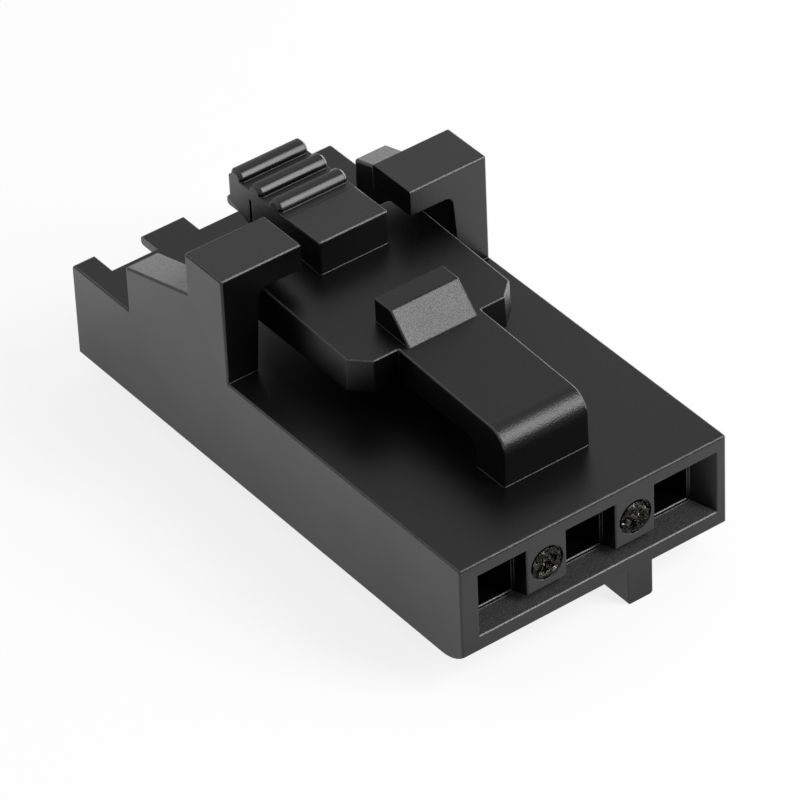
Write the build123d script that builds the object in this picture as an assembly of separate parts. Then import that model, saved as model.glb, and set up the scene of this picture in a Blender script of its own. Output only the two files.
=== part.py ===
from build123d import *
import os

os.makedirs("parts", exist_ok=True)

# A crimp housing for three circuits on a 2.54 mm pitch, with a latch that is moulded on its top.
# The origin is under the middle of the part, at the level of the locating tab's foot.
# X runs along the row of circuits, Y runs back from the mating face and Z runs up.
# Sizes are in millimetres. A depth is measured back from the mating face, and a height up from the underside.
# A form on the body is sized from what carries it, so it follows when the body or the latch changes.

# Row of circuits, hung under the roof
CIRCUITS = 3
PITCH = 2.54
ROOF = 0.255
CAVITY_WIDTH = 1.33
CAVITY_HEIGHT = 1.60
FRONT_WALL = 1.40
CONTACT_OPENING = 1.20
CONTACT_EDGE = 0.03
WINDOW_WIDTH = 0.90
WINDOW_LENGTH = 1.50
WINDOW_SETBACK = 2.60

# Body
LENGTH = 15.10
BODY_HEIGHT = 2.85
REAR_DECK_DROP = 0.23
NOSE_RISE = 0.34
NOSE_RUN = 0.80
REAR_RAIL_RUN = 2.35
REAR_NOTCH = 0.82
REAR_EDGE = 0.12
ENTRY_LEAD = 0.15
TONGUE_GAP = 0.10
TONGUE_EDGE = 0.10
FRONT_EDGE = 0.06
BODY_EDGE = 0.05

# Locating tab under the nose
TAB_DROP = 0.64
TAB_WIDTH = 0.71
TAB_LENGTH = 1.60
TAB_EDGE = 0.08

# Mating recess: a rim that is wider on one side, and walls that taper to a ledge round the contact openings
RECESS_DEPTH = 0.61
RIM_LEFT = 0.49
RIM_RIGHT = 0.26
RIM_EDGE = 0.04
RECESS_LEDGE = 0.095
FLOOR_TAPER = 0.14
ROOF_TAPER = 0.23

# Blocks that carry the screws between the contact openings
BLOCK_SETBACK = 0.13
BLOCK_CHIN = 0.165
BLOCK_EDGE = 0.06

# Screws
SCREW_RISE = 0.135
HEAD_RADIUS = 0.41
HEAD_RIM = 0.09
HEAD_CROWN = 0.11
SPOT_DEPTH = 0.09
SPOT_CLEARANCE = 0.05
SHANK_RADIUS = 0.22
SHANK_LENGTH = 1.30
POINT_LENGTH = 0.25
PILOT_CLEARANCE = 0.02

# Cross recess in a screw's head: steep wings with a flared mouth, and a cone in the middle
WING_SPAN = 0.50
WING_WIDTH = 0.11
WING_DEPTH = 0.15
WING_DRAFT = 8
MOUTH_SPAN = 0.78
MOUTH_WIDTH = 0.27
MOUTH_DEPTH = 0.09
MOUTH_DRAFT = 42
CONE_RADIUS = 0.17
CONE_DEPTH = 0.20

# Guards that bend over the latch plate, and the sloping walls behind them
GUARD_DEPTH = 1.45
GUARD_CLEARANCE = 0.453
GUARD_ARM = 0.69
GUARD_GAP = 3.15
POST_FOOT = 0.86
POST_HEAD = 1.02
GUARD_BEND = 0.25
GUARD_EDGE = 0.06
WALL_THICKNESS = 0.94
WALL_RUN = 2.56
WALL_FRONT_RISE = 2.00
WALL_REAR_RISE = 1.28
WALL_EDGE = 0.06
WALL_CORNER = 0.09

# Latch: foot, arm and wide plate
FOOT_SETBACK = 1.70
FOOT_DEPTH = 1.00
ARM_WIDTH = 2.46
ARM_CLEARANCE = 0.73
ARM_THICKNESS = 0.71
ARM_RISE = 0.045
ARM_BEND_OUTER = 0.55
ARM_BEND_INNER = 0.40
ARM_REACH = 3.866
PLATE_CLEARANCE = 0.403
PLATE_INSET = 0.044
PLATE_CHAMFER_SIDE = 0.487
PLATE_CHAMFER_RUN = 0.45
LATCH_DRAFT = 1.5
LATCH_EDGE = 0.05

# Latch: lock wedge on the front of the plate
WEDGE_WIDTH = 1.96
WEDGE_RISE = 0.705
WEDGE_LAND = 0.62
WEDGE_RAMP = 0.68
WEDGE_SETBACK = 0.10
WEDGE_EDGE = 0.03

# Latch: thumb pad with three round ridges, sized up from the underside of the arm
PAD_WIDTH = 1.98
PAD_SETBACK = 0.076
PAD_LENGTH = 3.56
PAD_THICKNESS = 1.93
PAD_UNDERCUT_RUN = 0.72
PAD_UNDERCUT_RISE = 0.26
PAD_LIP = 0.10
PAD_LIP_RISE = 1.32
PAD_EDGE = 0.06
RIDGES = 3
RIDGE_RADIUS = 0.25
RIDGE_PITCH = 0.77
RIDGE_SINK = 0.03
RIDGE_EDGE = 0.08
GROOVE_SETBACK = 0.80
GROOVE_WIDTH = 0.08
GROOVE_DEPTH = 0.04
GROOVE_DROP = 0.32

# How far a form is rooted in the one that carries it, before they become one moulding
ROOT = 0.20

# How near an edge lies to a place that it is looked up by
NEAR = 0.0001

# Sizes that follow from the others
WIDTH = CIRCUITS * PITCH
HALF = WIDTH / 2
WALL_BACK = LENGTH - REAR_RAIL_RUN
GUARD_BACK = WALL_BACK - WALL_RUN
GUARD_SETBACK = GUARD_BACK - GUARD_DEPTH
DECK_HEIGHT = BODY_HEIGHT - REAR_DECK_DROP

ROW_SPAN = (CIRCUITS - 1) * PITCH
ROW_HEIGHT = DECK_HEIGHT - ROOF - CAVITY_HEIGHT / 2
CAVITY_FLOOR = ROW_HEIGHT - CAVITY_HEIGHT / 2
CAVITY_FRONT = RECESS_DEPTH + FRONT_WALL
LEDGE_HALF = CONTACT_OPENING / 2 + RECESS_LEDGE
LEDGE_LOW = ROW_HEIGHT - LEDGE_HALF
LEDGE_HIGH = ROW_HEIGHT + LEDGE_HALF
SILL = LEDGE_LOW - FLOOR_TAPER
LINTEL = LEDGE_HIGH + ROOF_TAPER
BLOCK_WIDTH = PITCH - 2 * LEDGE_HALF
HEAD_HEIGHT = HEAD_RIM + HEAD_CROWN
SCREW_HEIGHT = ROW_HEIGHT + SCREW_RISE
SCREW_SEAT = BLOCK_SETBACK + SPOT_DEPTH

ARM_UNDERSIDE = BODY_HEIGHT + ARM_CLEARANCE
PLATE_WIDTH = WIDTH - 2 * (POST_HEAD + PLATE_CLEARANCE)
PLATE_FRONT = FOOT_SETBACK + ARM_REACH
PLATE_BACK = GUARD_BACK - PLATE_INSET
PAD_FRONT = GUARD_SETBACK + PAD_SETBACK
PAD_BACK = PAD_FRONT + PAD_LENGTH
PAD_HEIGHT = ARM_UNDERSIDE + PAD_THICKNESS


def at(depth):
    """Y of a depth behind the mating face."""
    return depth - LENGTH / 2


def up(height):
    """Z of a height above the underside."""
    return height + TAB_DROP


def row(count):
    """X of each of a number of places on the circuit pitch, set about the middle."""
    return [(index - (count - 1) / 2) * PITCH for index in range(count)]


def arm_top(depth):
    """Height of the latch's gently rising top face at a depth."""
    return ARM_UNDERSIDE + ARM_THICKNESS + ARM_RISE * (depth - FOOT_SETBACK - ARM_BEND_OUTER)


GUARD_UNDERSIDE = arm_top(GUARD_BACK) + GUARD_CLEARANCE
GUARD_HEIGHT = GUARD_UNDERSIDE + GUARD_ARM


def outline(points):
    """Flat face through points given as depth and height."""
    return make_face(Polyline(*[(at(depth), up(height)) for depth, height in points], close=True))


def across(face, width, middle=0.0):
    """Solid made by drawing a side outline out to a width along X."""
    return Pos(middle, 0, 0) * extrude(Plane.YZ * face, width / 2, both=True)


def block(x_low, x_high, depth_low, depth_high, height_low, height_high):
    """Plain block between two corners."""
    size = (x_high - x_low, depth_high - depth_low, height_high - height_low)
    corner = Pos(x_low, at(depth_low), up(height_low))
    return corner * Box(*size, align=(Align.MIN, Align.MIN, Align.MIN))


def corner_near(face, place):
    """Corner of a flat outline that lies nearest to a place."""
    return face.vertices().sort_by_distance((*place, 0))[0]


def round_corner(face, depth, height, radius):
    """Side outline with the corner nearest to a depth and height made round."""
    return fillet(corner_near(face, (at(depth), up(height))), radius)


def end_edges(solid):
    """Edges round the two flat ends of a form that was drawn out along X."""
    ends = solid.faces().filter_by(Axis.X)
    return ends.sort_by(Axis.X)[0].edges() + ends.sort_by(Axis.X)[-1].edges()


def edges_along_row(solid, depth, height):
    """Edges that run along X at a depth and height."""
    y, z = at(depth), up(height)
    lines = solid.edges().filter_by(Axis.X)
    return lines.filter_by(lambda line: abs(line.center().Y - y) < NEAR and abs(line.center().Z - z) < NEAR)


# Body with the rounded nose and the lower deck at the rear
def body():
    slope = (NOSE_RUN**2 + NOSE_RISE**2) / (2 * NOSE_RISE)
    dip = slope - (slope**2 - (NOSE_RUN / 2) ** 2) ** 0.5
    nose = ThreePointArc(
        (at(0), up(NOSE_RISE)),
        (at(NOSE_RUN / 2), up(dip)),
        (at(NOSE_RUN), up(0)),
    )
    rest = Polyline(
        (at(NOSE_RUN), up(0)),
        (at(LENGTH), up(0)),
        (at(LENGTH), up(DECK_HEIGHT)),
        (at(GUARD_BACK), up(DECK_HEIGHT)),
        (at(GUARD_BACK), up(BODY_HEIGHT)),
        (at(0), up(BODY_HEIGHT)),
        (at(0), up(NOSE_RISE)),
    )
    side = round_corner(make_face([nose, rest]), 0, BODY_HEIGHT, FRONT_EDGE)
    side = round_corner(side, LENGTH, DECK_HEIGHT, REAR_EDGE)
    solid = across(side, WIDTH)
    return fillet(end_edges(solid), BODY_EDGE)


# Locating tab, under the wall between the last two circuits
def tab():
    middle = PITCH / 2
    half = TAB_WIDTH / 2
    solid = block(middle - half, middle + half, 0, TAB_LENGTH, -TAB_DROP, NOSE_RISE + ROOT)
    foot = solid.faces().sort_by(Axis.Z)[0]
    return fillet(foot.edges().filter_by(Axis.Y), TAB_EDGE)


# Tapered recess in the mating face, down to a ledge round the contact openings
def recess():
    reach = ROW_SPAN / 2 + LEDGE_HALF
    side = outline([(0, SILL), (0, LINTEL), (RECESS_DEPTH, LEDGE_HIGH), (RECESS_DEPTH, LEDGE_LOW)])
    plan = [
        (-HALF + RIM_LEFT, at(0)),
        (HALF - RIM_RIGHT, at(0)),
        (reach, at(RECESS_DEPTH)),
        (-reach, at(RECESS_DEPTH)),
    ]
    face = Plane.XY.offset(up(0)) * make_face(Polyline(*plan, close=True))
    return across(side, WIDTH) & extrude(face, BODY_HEIGHT)


# Block between two contact openings, with its underside cut back to the floor of the recess
def screw_block(x):
    top = (LINTEL + BODY_HEIGHT) / 2
    side = outline(
        [
            (BLOCK_SETBACK, top),
            (BLOCK_SETBACK, LEDGE_LOW + BLOCK_CHIN),
            (RECESS_DEPTH, LEDGE_LOW),
            (RECESS_DEPTH + ROOT, LEDGE_LOW),
            (RECESS_DEPTH + ROOT, top),
        ]
    )
    solid = across(side, BLOCK_WIDTH, x)
    front = solid.faces().sort_by(Axis.Y)[0]
    seen = front.edges().filter_by(Axis.Z) + front.edges().sort_by(Axis.Z)[:1]
    return fillet(seen, BLOCK_EDGE)


# Seat and pilot hole for a screw
def screw_hole(x):
    seat = Pos(x, at(SCREW_SEAT), up(SCREW_HEIGHT))
    low = (Align.CENTER, Align.CENTER, Align.MIN)
    pilot = Cylinder(SHANK_RADIUS + PILOT_CLEARANCE, SHANK_LENGTH + PILOT_CLEARANCE, align=low)
    spot = Cylinder(HEAD_RADIUS + SPOT_CLEARANCE, SCREW_SEAT, align=low)
    return seat * (Rot(-90, 0, 0) * pilot + Rot(90, 0, 0) * spot)


# Terminal cavity, contact opening and lance window of one circuit
def circuit(x):
    half = CAVITY_WIDTH / 2
    cavity = block(x - half, x + half, CAVITY_FRONT, LENGTH, CAVITY_FLOOR, CAVITY_FLOOR + CAVITY_HEIGHT)
    half = CONTACT_OPENING / 2
    low, high = ROW_HEIGHT - half, ROW_HEIGHT + half
    opening = block(x - half, x + half, RECESS_DEPTH - ROOT / 2, CAVITY_FRONT, low, high)
    half = WINDOW_WIDTH / 2
    front = CAVITY_FRONT + WINDOW_SETBACK
    window = block(x - half, x + half, front, front + WINDOW_LENGTH, 0, ROW_HEIGHT)
    return cavity + opening + window


# Open rear end: the roof stops short between the side rails, with a tongue over each inner wall
def rear_notch():
    half = (ROW_SPAN + CAVITY_WIDTH) / 2
    return block(-half, half, LENGTH - REAR_NOTCH, LENGTH, CAVITY_FLOOR, DECK_HEIGHT)


def tongue(x):
    half = (PITCH - CAVITY_WIDTH) / 2
    front, back = LENGTH - REAR_NOTCH - ROOT, LENGTH - TONGUE_GAP
    solid = block(x - half, x + half, front, back, DECK_HEIGHT - ROOF, DECK_HEIGHT)
    rear = solid.faces().sort_by(Axis.Y)[-1]
    return fillet(rear.edges().filter_by(Axis.X), TONGUE_EDGE)


# Lead-in for the terminals: the inner wall's rear end is cut to a blunt point under the tongue
def entry_lead(x):
    half = (PITCH - CAVITY_WIDTH) / 2
    rear = at(LENGTH - REAR_NOTCH)
    corner = Polyline(
        (half + ROOT, rear + ROOT),
        (half - ENTRY_LEAD - ROOT, rear + ROOT),
        (half - ENTRY_LEAD, rear),
        (half, rear - ENTRY_LEAD),
        (half + ROOT, rear - ENTRY_LEAD - ROOT),
        close=True,
    )
    cut = extrude(Plane.XY.offset(up(CAVITY_FLOOR)) * make_face(corner), CAVITY_HEIGHT)
    return Pos(x, 0, 0) * both_sides(cut)


# Guard on the left of the latch: an upright post with an arm that bends inwards over the plate
def guard():
    foot = BODY_HEIGHT - ROOT
    profile = make_face(
        Polyline(
            (-HALF, up(foot)),
            (-HALF, up(GUARD_HEIGHT)),
            (-GUARD_GAP / 2, up(GUARD_HEIGHT)),
            (-GUARD_GAP / 2, up(GUARD_UNDERSIDE)),
            (-HALF + POST_HEAD, up(GUARD_UNDERSIDE)),
            (-HALF + POST_FOOT, up(BODY_HEIGHT)),
            (-HALF + POST_FOOT, up(foot)),
            close=True,
        )
    )
    profile = fillet(corner_near(profile, (-HALF + POST_HEAD, up(GUARD_UNDERSIDE))), GUARD_BEND)
    profile = fillet(corner_near(profile, (-HALF, up(GUARD_HEIGHT))), GUARD_EDGE)
    plane = Plane(origin=(0, at(GUARD_SETBACK), 0), x_dir=(1, 0, 0), z_dir=(0, -1, 0))
    solid = extrude(plane * profile, -GUARD_DEPTH)
    ends = solid.faces().filter_by(Axis.Y)
    edges = ends.sort_by(Axis.Y)[0].edges() + ends.sort_by(Axis.Y)[-1].edges()
    top = edges.filter_by(lambda edge: edge.center().Z > up(GUARD_HEIGHT - GUARD_EDGE))
    side = edges.filter_by(lambda edge: edge.center().X < -HALF + NEAR)
    return fillet(top + side, GUARD_EDGE)


# Wall on the left behind the guard, with a top that slopes down to the rear
def side_wall():
    front_top = DECK_HEIGHT + WALL_FRONT_RISE
    rear_top = DECK_HEIGHT + WALL_REAR_RISE
    side = outline(
        [
            (GUARD_BACK - ROOT, DECK_HEIGHT - ROOT),
            (GUARD_BACK - ROOT, front_top),
            (GUARD_BACK, front_top),
            (WALL_BACK, rear_top),
            (WALL_BACK, DECK_HEIGHT - ROOT),
        ]
    )
    side = round_corner(side, WALL_BACK, rear_top, WALL_CORNER)
    solid = across(side, WALL_THICKNESS, -HALF + WALL_THICKNESS / 2)
    upper = end_edges(solid).filter_by(lambda edge: edge.center().Z > up(DECK_HEIGHT))
    return fillet(upper.filter_by(lambda edge: edge.center().Y > at(GUARD_BACK)), WALL_EDGE)


# Latch foot, arm and plate: one side section, cut to the plan of a narrow arm and a wide plate
def blade():
    root = BODY_HEIGHT - ROOT
    side = outline(
        [
            (FOOT_SETBACK, root),
            (FOOT_SETBACK, arm_top(FOOT_SETBACK)),
            (PLATE_BACK, arm_top(PLATE_BACK)),
            (PLATE_BACK, ARM_UNDERSIDE),
            (FOOT_SETBACK + FOOT_DEPTH, ARM_UNDERSIDE),
            (FOOT_SETBACK + FOOT_DEPTH, root),
        ]
    )
    side = round_corner(side, FOOT_SETBACK, arm_top(FOOT_SETBACK), ARM_BEND_OUTER)
    side = round_corner(side, FOOT_SETBACK + FOOT_DEPTH, ARM_UNDERSIDE, ARM_BEND_INNER)
    arm, wide = ARM_WIDTH / 2, PLATE_WIDTH / 2
    narrow = wide - PLATE_CHAMFER_SIDE
    right = [
        (arm, FOOT_SETBACK - ROOT),
        (arm, PLATE_FRONT),
        (narrow, PLATE_FRONT),
        (wide, PLATE_FRONT + PLATE_CHAMFER_RUN),
        (wide, PLATE_BACK - PLATE_CHAMFER_RUN),
        (narrow, PLATE_BACK),
    ]
    plan = right + [(-x, depth) for x, depth in reversed(right)]
    face = make_face(Polyline(*[(x, at(depth), up(root)) for x, depth in plan], close=True))
    tall = arm_top(PLATE_BACK) - root + ROOT
    solid = across(side, PLATE_WIDTH + ROOT) & extrude(face, tall, taper=LATCH_DRAFT)
    top = solid.faces().filter_by(lambda part: part.normal_at().Z > 0.9).sort_by(SortBy.AREA)[-1]
    rim = top.edges().filter_by(lambda edge: abs(edge.tangent_at(0.5).X) < 0.999 or edge.center().Y > 0)
    return fillet(rim, LATCH_EDGE)


# Lock wedge: a ramp, a flat land and an upright back that catches behind the mating part
def wedge():
    front = PLATE_FRONT - WEDGE_SETBACK
    crest = arm_top(front) + WEDGE_RISE
    side = outline(
        [
            (front, arm_top(front)),
            (front + WEDGE_RAMP, crest),
            (front + WEDGE_RAMP + WEDGE_LAND, crest),
            (front + WEDGE_RAMP + WEDGE_LAND, ARM_UNDERSIDE + ROOT),
            (front, ARM_UNDERSIDE + ROOT),
        ]
    )
    solid = across(side, WEDGE_WIDTH)
    upper = end_edges(solid).filter_by(lambda edge: edge.center().Z > up(arm_top(front)))
    land = solid.faces().sort_by(Axis.Z)[-1].edges().filter_by(Axis.X)
    return chamfer(upper + land, WEDGE_EDGE)


# Thumb pad: undercut at the rear, ribbed on top, with a groove down each side
def thumb_pad():
    low = ARM_UNDERSIDE + ROOT
    lip = PAD_BACK + PAD_LIP
    lip_height = ARM_UNDERSIDE + PAD_LIP_RISE
    ribbed = PAD_BACK - RIDGES * RIDGE_PITCH
    side = outline(
        [
            (PAD_FRONT, low),
            (PAD_FRONT, PAD_HEIGHT),
            (ribbed, PAD_HEIGHT),
            (ribbed, PAD_HEIGHT - RIDGE_SINK),
            (PAD_BACK, PAD_HEIGHT - RIDGE_SINK),
            (PAD_BACK, lip_height),
            (lip, lip_height - PAD_LIP),
            (lip - PAD_UNDERCUT_RUN / 2, lip_height - PAD_UNDERCUT_RISE),
            (PLATE_BACK, low),
        ]
    )
    side = round_corner(side, PAD_FRONT, PAD_HEIGHT, PAD_EDGE)
    solid = across(side, PAD_WIDTH)
    front = end_edges(solid).filter_by(lambda edge: edge.center().Y < at(ribbed))
    solid = fillet(front.filter_by(lambda edge: edge.center().Z > up(low + PAD_EDGE)), PAD_EDGE)
    for index in range(RIDGES):
        solid += ridge(PAD_BACK - RIDGE_RADIUS - index * RIDGE_PITCH)
    for side_sign in (-1, 1):
        solid -= pad_groove(side_sign)
    return solid


# Round bar, half sunk in the pad, with softened ends
def ridge(depth):
    bar = Pos(0, at(depth), up(PAD_HEIGHT - RIDGE_SINK)) * Rot(0, 90, 0) * Cylinder(RIDGE_RADIUS, PAD_WIDTH)
    return chamfer(end_edges(bar), RIDGE_EDGE)


def pad_groove(side_sign):
    back = PAD_BACK - GROOVE_SETBACK
    face = side_sign * PAD_WIDTH / 2
    inner = face - side_sign * GROOVE_DEPTH
    outer = face + side_sign * ROOT
    x_low, x_high = sorted((inner, outer))
    return block(x_low, x_high, back - GROOVE_WIDTH, back, ARM_UNDERSIDE + ROOT, PAD_HEIGHT - GROOVE_DROP)


def both_sides(solid):
    return solid + mirror(solid, Plane.YZ)


# The whole housing is one moulding
def housing():
    solid = body() + tab()
    solid -= rear_notch()
    for x in row(CIRCUITS - 1):
        solid += tongue(x)
    solid += both_sides(guard())
    solid += both_sides(side_wall())
    solid += blade() + wedge() + thumb_pad()
    solid -= recess()
    solid = fillet(edges_along_row(solid, 0, SILL), RIM_EDGE)
    for x in row(CIRCUITS - 1):
        solid += screw_block(x)
        solid -= entry_lead(x)
    for x in row(CIRCUITS):
        solid -= circuit(x)
    solid = fillet(edges_along_row(solid, RECESS_DEPTH, ROW_HEIGHT - CONTACT_OPENING / 2), CONTACT_EDGE)
    for x in row(CIRCUITS - 1):
        solid -= screw_hole(x)
    return solid


# Small pan-head screw, domed over its rim
def screw(x):
    dome = (HEAD_RADIUS**2 + HEAD_CROWN**2) / (2 * HEAD_CROWN)
    halfway = HEAD_RADIUS / 2
    head = make_face(
        [
            Polyline((0, HEAD_HEIGHT), (0, 0), (HEAD_RADIUS, 0), (HEAD_RADIUS, HEAD_RIM)),
            ThreePointArc(
                (HEAD_RADIUS, HEAD_RIM),
                (halfway, HEAD_HEIGHT - dome + (dome**2 - halfway**2) ** 0.5),
                (0, HEAD_HEIGHT),
            ),
        ]
    )
    shank = make_face(
        Polyline(
            (0, HEAD_RIM / 2),
            (SHANK_RADIUS, HEAD_RIM / 2),
            (SHANK_RADIUS, POINT_LENGTH - SHANK_LENGTH),
            (0, -SHANK_LENGTH),
            close=True,
        )
    )
    solid = revolve(Plane.XZ * (head + shank), Axis.Z)
    return Pos(x, at(SCREW_SEAT), up(SCREW_HEIGHT)) * Rot(90, 0, 0) * (solid - cross_recess())


def cross_recess():
    cone = Cone(CONE_RADIUS, 0, CONE_DEPTH, align=(Align.CENTER, Align.CENTER, Align.MIN))
    wings = crossed_slots(WING_SPAN, WING_WIDTH, WING_DEPTH, WING_DRAFT)
    mouth = crossed_slots(MOUTH_SPAN, MOUTH_WIDTH, MOUTH_DEPTH, MOUTH_DRAFT)
    return Pos(0, 0, HEAD_HEIGHT) * Rot(180, 0, 0) * (wings + mouth + cone)


def crossed_slots(span, width, depth, draft):
    """Two crossed slots that narrow with their depth, drawn upwards."""
    slot = extrude(Rectangle(span, width), depth, taper=draft)
    return Rot(0, 0, 45) * slot + Rot(0, 0, 135) * slot


export_step(housing(), "parts/housing.step")
for place, name in zip(row(CIRCUITS - 1), ("left_screw", "right_screw")):
    export_step(screw(place), f"parts/{name}.step")
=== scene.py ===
import math

import bmesh
import bpy
from mathutils import Matrix, Vector


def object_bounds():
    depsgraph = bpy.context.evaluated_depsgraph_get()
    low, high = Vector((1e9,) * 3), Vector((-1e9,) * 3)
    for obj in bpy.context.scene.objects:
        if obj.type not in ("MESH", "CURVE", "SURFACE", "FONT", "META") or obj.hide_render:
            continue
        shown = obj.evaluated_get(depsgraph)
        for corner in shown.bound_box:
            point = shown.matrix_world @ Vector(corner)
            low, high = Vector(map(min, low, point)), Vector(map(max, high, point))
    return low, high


MM = 0.001

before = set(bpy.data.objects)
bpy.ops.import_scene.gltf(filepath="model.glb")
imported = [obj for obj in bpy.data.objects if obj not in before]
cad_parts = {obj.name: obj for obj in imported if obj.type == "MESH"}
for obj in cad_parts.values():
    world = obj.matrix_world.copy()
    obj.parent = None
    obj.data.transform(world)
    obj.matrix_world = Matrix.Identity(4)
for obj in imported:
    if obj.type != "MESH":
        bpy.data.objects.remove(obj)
cad_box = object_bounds()

# Studio camera, at the photograph's viewing angle
CAMERA_PLACE = Vector((-64.070, -90.171, 89.079)) * MM
CAMERA_AZIMUTH = math.radians(-35.471)
CAMERA_ELEVATION = math.radians(38.267)
CAMERA_ROLL = math.radians(-2.641)
CAMERA_SENSOR_MM = 36.0
CAMERA_LENS_MM = 271.68
CAMERA_NEAREST = 1 * MM

# Sky that brightens towards one side
SKY_TOWARD = (0.303, 0.808, 0.505)
SKY_FROM = -0.3
SKY_TO = 0.6
SKY_DARK = 0.16
SKY_BRIGHT = 0.62

# Two softboxes, aimed at the middle of the part
SOFTBOX_DISTANCE = 150 * MM
FRONT_SOFTBOX = {"toward": (0.456, -0.682, 0.571), "width": 66 * MM, "height": 136 * MM, "radiance": 8.4}
REAR_SOFTBOX = {"toward": (0.750, 0.640, 0.140), "width": 70 * MM, "height": 60 * MM, "radiance": 1.0}

# Pale floor, whose light on the part and whose look in reflections carry a painted pool of light round the
# part, painted shade at the part's foot and painted dark further out. Where it is seen, part of its paleness
# is its own
FLOOR_SIZE = 1200 * MM
FLOOR_COLOUR = 0.70
FLOOR_SEEN_COLOUR = 0.18
FLOOR_LIFT = 0.82
POOL_REACH = {"left": 6 * MM, "front": 3.2 * MM, "right": 24 * MM, "rear": 24 * MM}
POOL_FADE = 4 * MM
POOL_DARK = 0.16
FOOT_REACH = 4 * MM
FOOT_LIGHT = 0.74
POOL_LIGHT = 1.34

# Range in which a noise texture's values mostly lie
NOISE_LOW = 0.35
NOISE_HIGH = 0.65

# An edge shows where the softened normal leaves the face's own, as a cosine, and where it looks up, as its
# Z. Only edges that look up take the painted edge highlights and glints
EDGE_STARTS = 0.995
EDGE_FULL = 0.88
EDGE_UP_STARTS = 0.1
EDGE_UP_FULL = 0.5

# Black moulded plastic, and the pale colour of its painted highlights and painted sheen
PLASTIC_BLACK = (0.0015, 0.0015, 0.0016, 1.0)
PAINTED_HIGHLIGHT_GREY = (0.250, 0.250, 0.256, 1.0)
PLASTIC_IOR = 1.50
PLASTIC_ROUGHNESS = 0.30
PLASTIC_UNEVENNESS = 0.02
PLASTIC_PATCH = 1.43 * MM
PLASTIC_GRAIN = 0.032 * MM
PLASTIC_GRAIN_HEIGHT = 0.0042 * MM
PLASTIC_EDGE = 0.038 * MM

# Share of pale painted highlight on the edges that look up and in the moulding's special places, and how far
# the grain speckles it into painted sparkle
EDGE_PAINTED_HIGHLIGHT = 0.05
# Painted highlights in the special places: on the slopes a painted highlight over real frosting, in place of
# a lamp; on the recess floor a painted sheen over real frosting; on the crests painted light from the open
# sky; on roundings, right-facing roundings, brows and lips painted edge highlights
PAINTED_HIGHLIGHT_PLACES = {
    "slopes": 1.0,
    "recess": 0.13,
    "crests": 0.05,
    "roundings": 0.22,
    "right_roundings": 0.45,
    "brows": 0.20,
    "lips": 0.55,
}
SPECKLE = 0.45

# Plastic is rougher by this much where it is seen in a reflection, so that it mirrors the softbox less
REFLECTED_ROUGHNESS = 0.45

# Frosted faces: the slopes of the side walls and the floor of the recess lean by about the same angle
LEAN = 0.964
LEAN_REACH = 0.017
SLOPE_SIDE = 2.8 * MM
SLOPE_FRONT = 2.6 * MM
RECESS_BACK = -6.9 * MM
FROST_ROUGHNESS = 0.12

# Faces that lean forward, such as the wedge's ramp and the arm's bend, have a coarser grain
FORWARD_LEAN = -0.35
RAMP_GRAIN = 0.038 * MM
RAMP_GRAIN_HEIGHT = 0.004 * MM

# Roundings, the highest tops, and the lips of the recess and the openings, which take painted highlights
ROUNDING_LEAN = 0.25
CREST_FOOT = 6.0 * MM
CREST_LEVEL = 0.9
LIP_BACK = -6.5 * MM
LIP_TOP = 3.0 * MM

# Smooth ridges of the thumb pad
RIDGE_FOOT = 6.16 * MM
RIDGE_SIDE = 1.02 * MM
RIDGE_ROUGHNESS = 0.27
RIDGE_GRAIN_HEIGHT = 0.001 * MM

# Blackened screws, whose blacking is thin in random spots, and whose edges that look up get a painted glint
# of bare steel colour
SCREW_BLACK = (0.0150, 0.0146, 0.0130, 1.0)
SCREW_BRIGHT = (0.1500, 0.1460, 0.1300, 1.0)
SCREW_ROUGHNESS = 0.06
SCREW_UNEVENNESS = 0.10
SCREW_GRAIN = 0.24 * MM
SCREW_GRAIN_HEIGHT = 0.320 * MM
SCREW_EDGE = 0.012 * MM
THIN_FROM = 0.52
THIN_TO = 0.66
EDGE_PAINTED_GLINT = 0.45


# Shader nodes
def node(tree, kind, **settings):
    """New shader node, with its settings and the fixed values of its inputs."""
    made = tree.nodes.new(kind)
    for name, value in settings.items():
        if name in made.inputs:
            made.inputs[name].default_value = value
        else:
            setattr(made, name, value)
    return made


def maths(tree, operation, *terms):
    """Result of a sum. A term is a plain number or another node's output."""
    made = node(tree, "ShaderNodeMath", operation=operation)
    for socket, term in zip(made.inputs, terms):
        if isinstance(term, bpy.types.NodeSocket):
            tree.links.new(term, socket)
        else:
            socket.default_value = term
    return made.outputs[0]


def above(tree, value, limit):
    return maths(tree, "GREATER_THAN", value, limit)


def below(tree, value, limit):
    return maths(tree, "LESS_THAN", value, limit)


def every(tree, first, *others):
    """Mask of where all the given masks hold."""
    for other in others:
        first = maths(tree, "MULTIPLY", first, other)
    return first


def mapped(tree, source, from_low, from_high, low, high):
    """A value carried from one range to another, and held at its ends."""
    ramp = node(tree, "ShaderNodeMapRange")
    ramp.inputs["From Min"].default_value = from_low
    ramp.inputs["From Max"].default_value = from_high
    ramp.inputs["To Min"].default_value = low
    ramp.inputs["To Max"].default_value = high
    tree.links.new(source, ramp.inputs["Value"])
    return ramp.outputs["Result"]


def blend(tree, share, first, second, socket):
    """Feed a socket with the mix of two colours, by a share that changes over the surface."""
    colour = node(tree, "ShaderNodeMix", data_type="RGBA")
    ends = [place for place in colour.inputs if place.type == "RGBA"]
    ends[0].default_value = first
    ends[1].default_value = second
    tree.links.new(share, colour.inputs["Factor"])
    tree.links.new([place for place in colour.outputs if place.type == "RGBA"][0], socket)


def axes(tree, source):
    """The X, Y and Z of a vector."""
    split = tree.nodes.new("ShaderNodeSeparateXYZ")
    tree.links.new(source, split.inputs["Vector"])
    return split.outputs


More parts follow.
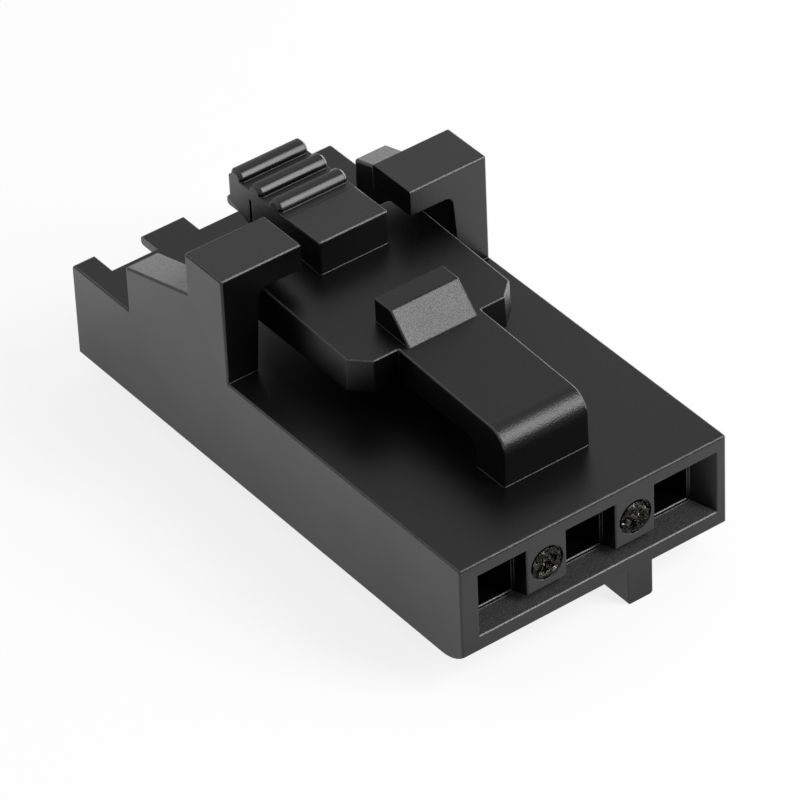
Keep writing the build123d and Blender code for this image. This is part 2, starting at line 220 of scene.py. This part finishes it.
def moulded_surface_group():
    """Effect that the finishes share: a normal with grain and softened edges, and masks of both."""
    group = bpy.data.node_groups.new("moulded_surface", "ShaderNodeTree")
    face = group.interface
    for name in ("Grain Scale", "Grain Height", "Edge Radius", "Patch Scale"):
        face.new_socket(name, in_out="INPUT", socket_type="NodeSocketFloat")
    face.new_socket("Normal", in_out="OUTPUT", socket_type="NodeSocketVector")
    for name in ("Grain", "Patch", "Edge"):
        face.new_socket(name, in_out="OUTPUT", socket_type="NodeSocketFloat")
    given = group.nodes.new("NodeGroupInput")
    result = group.nodes.new("NodeGroupOutput")
    place = group.nodes.new("ShaderNodeTexCoord")
    surface = group.nodes.new("ShaderNodeNewGeometry")
    grain = node(group, "ShaderNodeTexNoise", Detail=2.0, Roughness=0.6)
    patch = node(group, "ShaderNodeTexNoise", Detail=2.0, Roughness=0.5)
    edge = node(group, "ShaderNodeBevel", samples=6)
    turn = node(group, "ShaderNodeVectorMath", operation="DOT_PRODUCT")
    bump = node(group, "ShaderNodeBump", Strength=1.0)
    rise = axes(group, edge.outputs["Normal"])["Z"]
    rounded = mapped(group, turn.outputs["Value"], EDGE_STARTS, EDGE_FULL, 0.0, 1.0)
    facing_up = mapped(group, rise, EDGE_UP_STARTS, EDGE_UP_FULL, 0.0, 1.0)
    flat = maths(group, "SUBTRACT", 1.0, rounded)
    link = group.links.new
    link(place.outputs["Object"], grain.inputs["Vector"])
    link(place.outputs["Object"], patch.inputs["Vector"])
    link(given.outputs["Grain Scale"], grain.inputs["Scale"])
    link(given.outputs["Patch Scale"], patch.inputs["Scale"])
    link(given.outputs["Edge Radius"], edge.inputs["Radius"])
    link(maths(group, "MULTIPLY", given.outputs["Grain Height"], flat), bump.inputs["Distance"])
    link(grain.outputs["Fac"], bump.inputs["Height"])
    link(edge.outputs["Normal"], bump.inputs["Normal"])
    link(edge.outputs["Normal"], turn.inputs[0])
    link(surface.outputs["Normal"], turn.inputs[1])
    link(bump.outputs["Normal"], result.inputs["Normal"])
    link(grain.outputs["Fac"], result.inputs["Grain"])
    link(patch.outputs["Fac"], result.inputs["Patch"])
    link(maths(group, "MULTIPLY", rounded, facing_up), result.inputs["Edge"])
    return group


# Finishes
def material(name):
    """Material with a Principled shader and the shared surface effect."""
    made = bpy.data.materials.new(name)
    made.use_nodes = True
    tree = made.node_tree
    shader = tree.nodes["Principled BSDF"]
    effect = tree.nodes.new("ShaderNodeGroup")
    effect.node_tree = moulded_surface
    tree.links.new(effect.outputs["Normal"], shader.inputs["Normal"])
    return made, tree, shader, effect


def special_places(tree):
    """Masks, by name, of the moulding's places: ramps and ridges have a finish of their own, crests,
    roundings, brows and lips get painted highlights, and the frosted slopes and recess get both.
    """
    coordinates = tree.nodes.new("ShaderNodeTexCoord")
    spot = axes(tree, coordinates.outputs["Object"])
    facing = axes(tree, coordinates.outputs["Normal"])
    aside = maths(tree, "ABSOLUTE", spot["X"])
    leaning = maths(tree, "COMPARE", facing["Z"], LEAN, LEAN_REACH)
    on_side_walls = every(tree, above(tree, aside, SLOPE_SIDE), above(tree, spot["Y"], SLOPE_FRONT))
    rising = above(tree, facing["Z"], ROUNDING_LEAN)
    sideways = above(tree, maths(tree, "ABSOLUTE", facing["X"]), ROUNDING_LEAN)
    rightwards = above(tree, facing["X"], ROUNDING_LEAN)
    forward = below(tree, facing["Y"], FORWARD_LEAN)
    high = above(tree, spot["Z"], CREST_FOOT)
    low = below(tree, spot["Z"], LIP_TOP)
    ridges = every(tree, above(tree, spot["Z"], RIDGE_FOOT), below(tree, aside, RIDGE_SIDE))
    return {
        "slopes": every(tree, leaning, on_side_walls),
        "recess": every(tree, leaning, below(tree, spot["Y"], RECESS_BACK)),
        "ramps": every(tree, rising, forward),
        "ridges": ridges,
        "crests": every(tree, high, above(tree, facing["Z"], CREST_LEVEL)),
        "roundings": every(tree, rising, sideways),
        "right_roundings": every(tree, rising, rightwards),
        "brows": every(tree, high, rising, forward, maths(tree, "SUBTRACT", 1.0, ridges)),
        "lips": every(tree, rising, forward, below(tree, spot["Y"], LIP_BACK), low),
    }


def black_plastic():
    made, tree, shader, effect = material("black_plastic")
    shader.inputs["IOR"].default_value = PLASTIC_IOR
    effect.inputs["Edge Radius"].default_value = PLASTIC_EDGE
    effect.inputs["Patch Scale"].default_value = 1 / PLASTIC_PATCH
    places = special_places(tree)
    ridges = places["ridges"]
    frosted = maths(tree, "MAXIMUM", places["slopes"], places["recess"])
    coarse = maths(tree, "MAXIMUM", frosted, places["ramps"])
    coarse = every(tree, coarse, maths(tree, "SUBTRACT", 1.0, ridges))
    scale = mapped(tree, coarse, 0.0, 1.0, 1 / PLASTIC_GRAIN, 1 / RAMP_GRAIN)
    height = maths(tree, "MULTIPLY_ADD", coarse, RAMP_GRAIN_HEIGHT, PLASTIC_GRAIN_HEIGHT)
    height = maths(tree, "MULTIPLY_ADD", ridges, RIDGE_GRAIN_HEIGHT - PLASTIC_GRAIN_HEIGHT, height)
    tree.links.new(scale, effect.inputs["Grain Scale"])
    tree.links.new(height, effect.inputs["Grain Height"])

    # Painted highlights: a pale colour on the edges that look up and in the special places, speckled by the
    # grain
    painted_highlight = maths(tree, "MULTIPLY", effect.outputs["Edge"], EDGE_PAINTED_HIGHLIGHT)
    for name, share in PAINTED_HIGHLIGHT_PLACES.items():
        painted_highlight = maths(tree, "MULTIPLY_ADD", places[name], share, painted_highlight)
    speckled = mapped(tree, effect.outputs["Grain"], NOISE_LOW, NOISE_HIGH, 1 - SPECKLE, 1 + SPECKLE)
    share = maths(tree, "MULTIPLY", painted_highlight, speckled)
    blend(tree, share, PLASTIC_BLACK, PAINTED_HIGHLIGHT_GREY, shader.inputs["Base Color"])

    smoothest = PLASTIC_ROUGHNESS - PLASTIC_UNEVENNESS
    roughest = PLASTIC_ROUGHNESS + PLASTIC_UNEVENNESS
    rough = mapped(tree, effect.outputs["Patch"], NOISE_LOW, NOISE_HIGH, smoothest, roughest)
    rough = maths(tree, "MULTIPLY_ADD", frosted, FROST_ROUGHNESS, rough)
    rough = maths(tree, "MULTIPLY_ADD", ridges, RIDGE_ROUGHNESS - PLASTIC_ROUGHNESS, rough)
    path = tree.nodes.new("ShaderNodeLightPath")
    rough = maths(tree, "MULTIPLY_ADD", path.outputs["Is Glossy Ray"], REFLECTED_ROUGHNESS, rough)
    tree.links.new(rough, shader.inputs["Roughness"])
    return made


def black_screw():
    made, tree, shader, effect = material("black_screw")
    shader.inputs["Metallic"].default_value = 1.0
    effect.inputs["Grain Scale"].default_value = 1 / SCREW_GRAIN
    effect.inputs["Grain Height"].default_value = SCREW_GRAIN_HEIGHT
    effect.inputs["Edge Radius"].default_value = SCREW_EDGE
    grain = effect.outputs["Grain"]
    spots = mapped(tree, grain, THIN_FROM, THIN_TO, 0.0, 1.0)
    # Painted glint on the edges that look up, besides the real thin spots
    spots_and_painted_glint = maths(tree, "MAXIMUM", spots, maths(tree, "MULTIPLY", effect.outputs["Edge"], EDGE_PAINTED_GLINT))
    blend(tree, spots_and_painted_glint, SCREW_BLACK, SCREW_BRIGHT, shader.inputs["Base Color"])
    roughest = SCREW_ROUGHNESS + SCREW_UNEVENNESS
    rough = mapped(tree, grain, NOISE_LOW, NOISE_HIGH, SCREW_ROUGHNESS, roughest)
    tree.links.new(rough, shader.inputs["Roughness"])
    return made


def dress(name, finish):
    """Give a CAD node its finish in every material slot."""
    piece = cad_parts[name]
    if not piece.material_slots:
        piece.data.materials.append(finish)
    for place in piece.material_slots:
        place.material = finish


# Studio
def add_camera():
    data = bpy.data.cameras.new("camera")
    data.sensor_width = CAMERA_SENSOR_MM
    data.lens = CAMERA_LENS_MM
    data.clip_start = CAMERA_NEAREST
    made = bpy.data.objects.new("camera", data)
    bpy.context.scene.collection.objects.link(made)
    turn = Matrix.Rotation(CAMERA_AZIMUTH, 4, "Z")
    tilt = Matrix.Rotation(math.pi / 2 - CAMERA_ELEVATION, 4, "X")
    roll = Matrix.Rotation(CAMERA_ROLL, 4, "Z")
    made.matrix_world = Matrix.Translation(CAMERA_PLACE) @ turn @ tilt @ roll
    bpy.context.scene.camera = made


def add_softbox(name, toward, width, height, radiance):
    """Rectangular lamp that faces the middle of the part from one direction."""
    data = bpy.data.lights.new(name, "AREA")
    data.shape = "RECTANGLE"
    data.size = width
    data.size_y = height
    data.energy = radiance * math.pi * width * height
    made = bpy.data.objects.new(name, data)
    bpy.context.scene.collection.objects.link(made)
    direction = Vector(toward).normalized()
    middle = (Vector(cad_box[0]) + Vector(cad_box[1])) / 2
    made.rotation_euler = direction.to_track_quat("Z", "Y").to_euler()
    made.location = middle + direction * SOFTBOX_DISTANCE


def add_floor():
    mesh = bpy.data.meshes.new("floor")
    shape = bmesh.new()
    bmesh.ops.create_grid(shape, x_segments=1, y_segments=1, size=FLOOR_SIZE / 2)
    shape.to_mesh(mesh)
    shape.free()
    floor = bpy.data.objects.new("floor", mesh)
    bpy.context.scene.collection.objects.link(floor)
    floor.data.materials.append(pale_floor())


def pale_floor():
    """White with the part's shadow where the camera sees it; in gloss it shows that shadow over a painted
    pool of light, and it lights the part from that painted pool.
    """
    made = bpy.data.materials.new("floor")
    made.use_nodes = True
    tree = made.node_tree
    shader = tree.nodes["Principled BSDF"]
    shader.inputs["Roughness"].default_value = 1.0
    shader.inputs["Specular IOR Level"].default_value = 0.0
    shader.inputs["Emission Color"].default_value = (1.0, 1.0, 1.0, 1.0)
    path = tree.nodes.new("ShaderNodeLightPath")
    gloss = maths(tree, "MAXIMUM", path.outputs["Is Glossy Ray"], path.outputs["Is Transmission Ray"])
    seen = maths(tree, "MAXIMUM", path.outputs["Is Camera Ray"], gloss)
    pool = painted_light_pool(tree)
    even = maths(tree, "SUBTRACT", 1.0, pool)
    lit = maths(tree, "MULTIPLY_ADD", path.outputs["Is Camera Ray"], even, pool)
    colour = mapped(tree, seen, 0.0, 1.0, FLOOR_COLOUR, FLOOR_SEEN_COLOUR)
    lift = mapped(tree, seen, 0.0, 1.0, 0.0, FLOOR_LIFT)
    tree.links.new(maths(tree, "MULTIPLY", colour, lit), shader.inputs["Base Color"])
    tree.links.new(maths(tree, "MULTIPLY", lift, lit), shader.inputs["Emission Strength"])
    return made


def painted_light_pool(tree):
    """Painted light on the floor: a pool round the part, painted dark further out and painted shade at the
    part's foot.
    """
    low, high = cad_box
    foot = outside(tree, low, high)
    pool_low = (low[0] - POOL_REACH["left"], low[1] - POOL_REACH["front"])
    pool_high = (high[0] + POOL_REACH["right"], high[1] + POOL_REACH["rear"])
    beyond = outside(tree, pool_low, pool_high)
    near = mapped(tree, foot, 0.0, FOOT_REACH, FOOT_LIGHT, POOL_LIGHT)
    far = mapped(tree, beyond, 0.0, POOL_FADE, 1.0, POOL_DARK)
    return maths(tree, "MULTIPLY", near, far)


def outside(tree, low, high):
    """Distance along the floor from a rectangle's edge, 0 inside the rectangle."""
    middle = ((low[0] + high[0]) / 2, (low[1] + high[1]) / 2, 0.0)
    half = ((high[0] - low[0]) / 2, (high[1] - low[1]) / 2, 0.0)
    none = (0.0, 0.0, 0.0)
    steps = (("SUBTRACT", middle), ("ABSOLUTE", none), ("SUBTRACT", half), ("MAXIMUM", none))
    value = tree.nodes.new("ShaderNodeTexCoord").outputs["Object"]
    for operation, term in steps:
        step = node(tree, "ShaderNodeVectorMath", operation=operation)
        tree.links.new(value, step.inputs[0])
        step.inputs[1].default_value = term
        value = step.outputs["Vector"]
    reach = node(tree, "ShaderNodeVectorMath", operation="LENGTH")
    tree.links.new(value, reach.inputs[0])
    return reach.outputs["Value"]


def light_world():
    """White where the camera sees it. The part is lit by a sky that brightens towards one side."""
    world = bpy.data.worlds.new("studio")
    bpy.context.scene.world = world
    world.use_nodes = True
    tree = world.node_tree
    place = tree.nodes.new("ShaderNodeTexCoord")
    toward = node(tree, "ShaderNodeVectorMath", operation="DOT_PRODUCT")
    toward.inputs[1].default_value = SKY_TOWARD
    tree.links.new(place.outputs["Generated"], toward.inputs[0])
    sky = mapped(tree, toward.outputs["Value"], SKY_FROM, SKY_TO, SKY_DARK, SKY_BRIGHT)
    path = tree.nodes.new("ShaderNodeLightPath")
    strength = maths(tree, "MAXIMUM", path.outputs["Is Camera Ray"], sky)
    background = tree.nodes["Background"]
    background.inputs["Color"].default_value = (1.0, 1.0, 1.0, 1.0)
    tree.links.new(strength, background.inputs["Strength"])


moulded_surface = moulded_surface_group()
dress("housing", black_plastic())
steel = black_screw()
dress("left_screw", steel)
dress("right_screw", steel)

add_camera()
add_floor()
add_softbox("front_softbox", **FRONT_SOFTBOX)
add_softbox("rear_softbox", **REAR_SOFTBOX)
light_world()
bpy.context.scene.view_settings.view_transform = "Standard"
